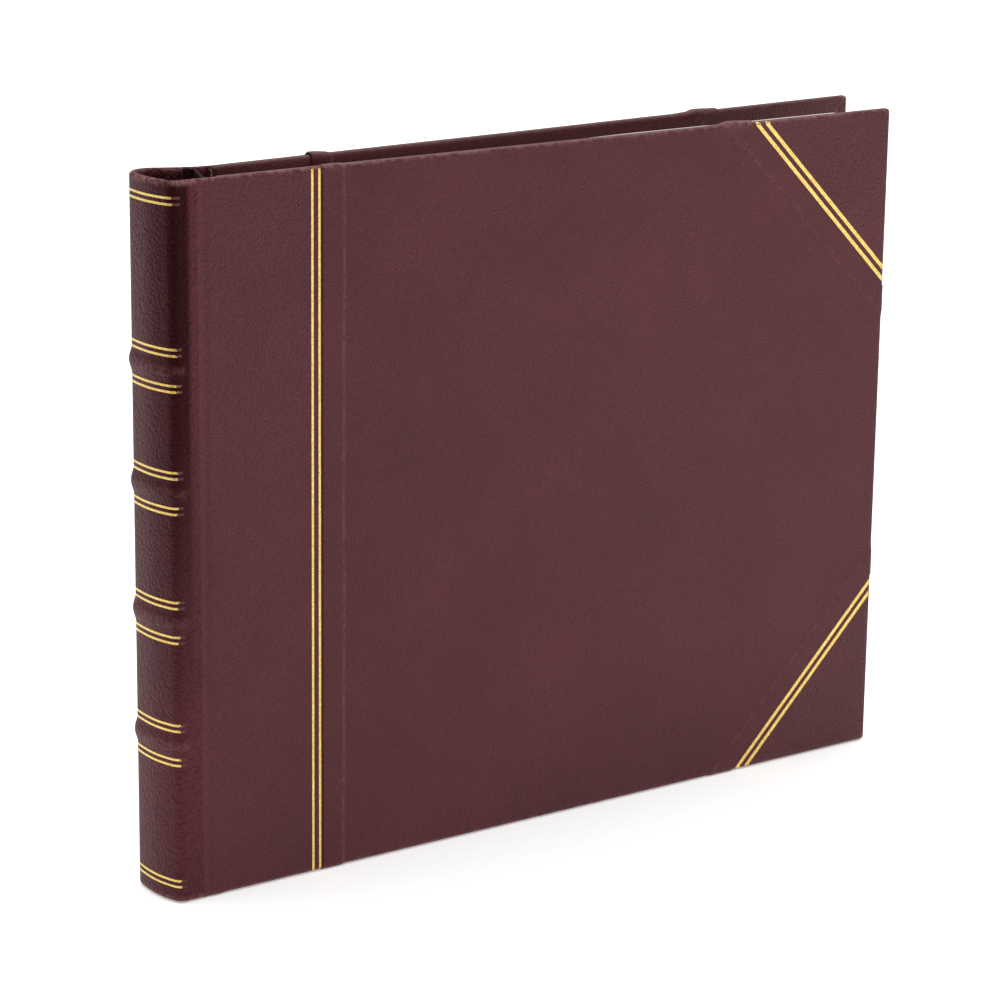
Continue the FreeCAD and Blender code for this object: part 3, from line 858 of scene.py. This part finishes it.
# CAD nodes that stay in sight keep their shape and take a material
for node, material in {
        "front_cover_board": "board", "rear_cover_board": "board", "spine_tube": "tube",
        "front_pastedown": "endpaper", "rear_pastedown": "endpaper",
        "front_joint_lining": "cloth", "rear_joint_lining": "cloth",
        "binding_channel": "cloth", "guard_strips": "guard", "guard_linen": "linen",
        "post_barrels": "brass", "post_screws": "brass"}.items():
    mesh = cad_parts[node].data
    mesh.materials.clear()
    mesh.materials.append(MATERIALS[material])

# ---- floor, light and camera ----

def stage_plane(name, size, z, material):
    mesh = bpy.data.meshes.new(name)
    s = size / 2
    mesh.from_pydata([(-s, -s, z), (s, -s, z), (s, s, z), (-s, s, z)], [], [(0, 1, 2, 3)])
    obj = bpy.data.objects.new(name, mesh)
    bpy.context.scene.collection.objects.link(obj)
    mesh.materials.append(material)
    return obj


floor_nodes = Nodes("pale_floor")
floor_material = floor_nodes.finish(Base_Color=(0.93, 0.93, 0.93, 1.0), Roughness=0.9, IOR=1.2,
                                    Emission_Color=(1.0, 1.0, 1.0, 1.0), Emission_Strength=0.36)
stage_plane("floor", 30.0, float(cad_low[2]) - 0.0004, floor_material)


def area_light(name, place_at, aim, size, radiance):
    data = bpy.data.lights.new(name, "AREA")
    data.shape = "RECTANGLE"
    data.size, data.size_y = size
    data.energy = radiance * math.pi * size[0] * size[1]
    obj = bpy.data.objects.new(name, data)
    bpy.context.scene.collection.objects.link(obj)
    obj.location = place_at
    direction = Vector(aim) - Vector(place_at)
    obj.rotation_mode = "QUATERNION"
    obj.rotation_quaternion = direction.to_track_quat("-Z", "Y")
    obj.visible_camera = False
    return obj


sun = bpy.data.lights.new("overhead_sky_panel", "SUN")
sun.energy, sun.angle = 3.1, math.radians(100)
sun_object = bpy.data.objects.new("overhead_sky_panel", sun)
bpy.context.scene.collection.objects.link(sun_object)
sun_object.rotation_euler = (math.radians(-12), math.radians(10), 0)

area_light("key_softbox", (1.5, -1.8, 0.4), (0.0, 0.0, 0.1), (1.6, 1.3), 0.85)
area_light("rim_softbox", (-1.9, 1.0, 0.5), (-0.1, 0.0, 0.12), (1.0, 1.0), 0.3)


def dark_flag(name, centre, radius, low, high, start, end):
    """A curved black card that the camera does not see. Angles run from -x towards -y."""
    black = Nodes(name + "_cloth")
    black.finish(Base_Color=(0.004, 0.004, 0.004, 1.0), Roughness=1.0, Specular_IOR_Level=0.0)
    angles = np.radians(np.linspace(start, end, 25))
    rim = [(centre[0] - radius * math.cos(a), centre[1] - radius * math.sin(a)) for a in angles]
    mesh = bpy.data.meshes.new(name)
    mesh.from_pydata([(x, y, z) for z in (low, high) for x, y in rim], [], quads(2, len(rim)))
    mesh.materials.append(black.mat)
    obj = bpy.data.objects.new(name, mesh)
    bpy.context.scene.collection.objects.link(obj)
    obj.visible_camera = False


spine_x, spine_y = float(cad_low[0]), float(cad_low[1])
dark_flag("spine_side_flag", (spine_x, spine_y), 0.42, 0.03, 0.5, -10, 62)

world = bpy.data.worlds.new("studio")
world.use_nodes = True
world.node_tree.nodes["Background"].inputs[0].default_value = (0.32, 0.32, 0.32, 1.0)
bpy.context.scene.world = world

CAMERA_AT = (-562.7, -942.9, 436.1)
YAW, PITCH_DOWN, ROLL = (math.radians(a) for a in (35.94, 15.01, 0.75))
FOCAL_PIXELS, FRAME_PIXELS, SENSOR = 3391.0, 1000.0, 36.0


def turn_x(angle):
    c, s = math.cos(angle), math.sin(angle)
    return np.array([[1, 0, 0], [0, c, -s], [0, s, c]])


def turn_z(angle):
    c, s = math.cos(angle), math.sin(angle)
    return np.array([[c, -s, 0], [s, c, 0], [0, 0, 1]])


# rows are the picture's right and down directions and the line of sight, in the plan frame
level = np.array([[1, 0, 0], [0, 0, -1], [0, 1, 0.0]])
looks = turn_z(ROLL) @ turn_x(PITCH_DOWN) @ level @ turn_z(YAW)
camera = bpy.data.cameras.new("photo_camera")
camera.sensor_width = SENSOR
camera.lens = FOCAL_PIXELS / FRAME_PIXELS * SENSOR
camera.clip_end = 50
camera_object = bpy.data.objects.new("photo_camera", camera)
bpy.context.scene.collection.objects.link(camera_object)
axes = np.stack([looks[0], -looks[1], -looks[2]], 1)
camera_object.matrix_world = Matrix.Translation(metres(CAMERA_AT)) @ Matrix(axes.tolist()).to_4x4()
bpy.context.scene.camera = camera_object
bpy.context.scene.view_settings.view_transform = "Standard"
